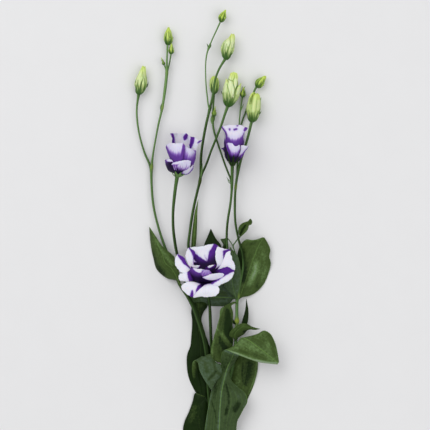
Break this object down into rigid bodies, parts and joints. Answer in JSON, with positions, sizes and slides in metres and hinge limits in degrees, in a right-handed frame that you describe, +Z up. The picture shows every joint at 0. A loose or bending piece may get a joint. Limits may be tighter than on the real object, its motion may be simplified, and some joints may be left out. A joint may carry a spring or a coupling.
{
  "type": "lisianthus spray",
  "caption": "Cut lisianthus stem lying flat: one open bicolour bloom, two half-open blooms, green buds on thin branching stems and broad curling leaves.",
  "frame": {"origin": "middle of the spray's box, at the height of the surface it lies on", "axes": "+Y along the stem from the cut end to the buds, +Z up from the surface to the side the open bloom faces, +X to the right when looking down with the buds at the top"},
  "size_m": [0.1438, 0.4702, 0.0516],
  "materials": {
    "petal": "soft satin, white with violet bands",
    "leaf": "waxy satin, dark green",
    "stem": "smooth satin, green",
    "bud": "soft satin, yellow-green",
    "calyx": "satin, green"
  },
  "bodies": {
    "root": {"bud_green": "bud", "bud_left": "bud", "bud_pale": "bud", "bud_right": "bud", "bud_small": "bud", "bud_stem_green": "stem", "bud_stem_left": "stem", "bud_stem_pale": "stem", "bud_stem_right": "stem", "bud_stem_small": "stem", "bud_stem_top": "stem", "bud_tall": "bud", "bud_top": "bud", "bud_upper_left": "bud", "bud_yellow": "bud", "centre_stem": "stem", "leaf_behind_bloom": "leaf", "leaf_bluish": "leaf", "leaf_curled": "leaf", "leaf_dark_tip": "leaf", "leaf_hooded": "leaf", "leaf_left": "leaf", "leaf_long_arching": "leaf", "leaf_lower_back": "leaf", "leaf_lower_left": "leaf", "leaf_lower_right": "leaf", "leaf_middle": "leaf", "leaf_narrow": "leaf", "leaf_right_large": "leaf", "leaf_spike": "leaf", "leaf_young": "leaf", "left_bloom_calyx": "calyx", "left_bloom_petal_1": "petal", "left_bloom_petal_2": "petal", "left_bloom_petal_3": "petal", "left_bloom_petal_4": "petal", "left_bloom_petal_5": "petal", "left_bloom_petal_6": "petal", "left_bloom_stem": "stem", "left_stem": "stem", "main_stem": "stem", "open_bloom_calyx": "calyx", "open_bloom_pedicel": "stem", "open_bloom_petal_1": "petal", "open_bloom_petal_2": "petal", "open_bloom_petal_3": "petal", "open_bloom_petal_4": "petal", "open_bloom_petal_5": "petal", "open_bloom_petal_6": "petal", "open_bloom_petal_7": "petal", "open_bloom_petal_8": "petal", "right_bloom_calyx": "calyx", "right_bloom_petal_1": "petal", "right_bloom_petal_2": "petal", "right_bloom_petal_3": "petal", "right_bloom_petal_4": "petal", "right_bloom_petal_5": "petal", "right_bloom_stem": "stem", "side_shoot": "stem"}
  },
  "joints": []
}
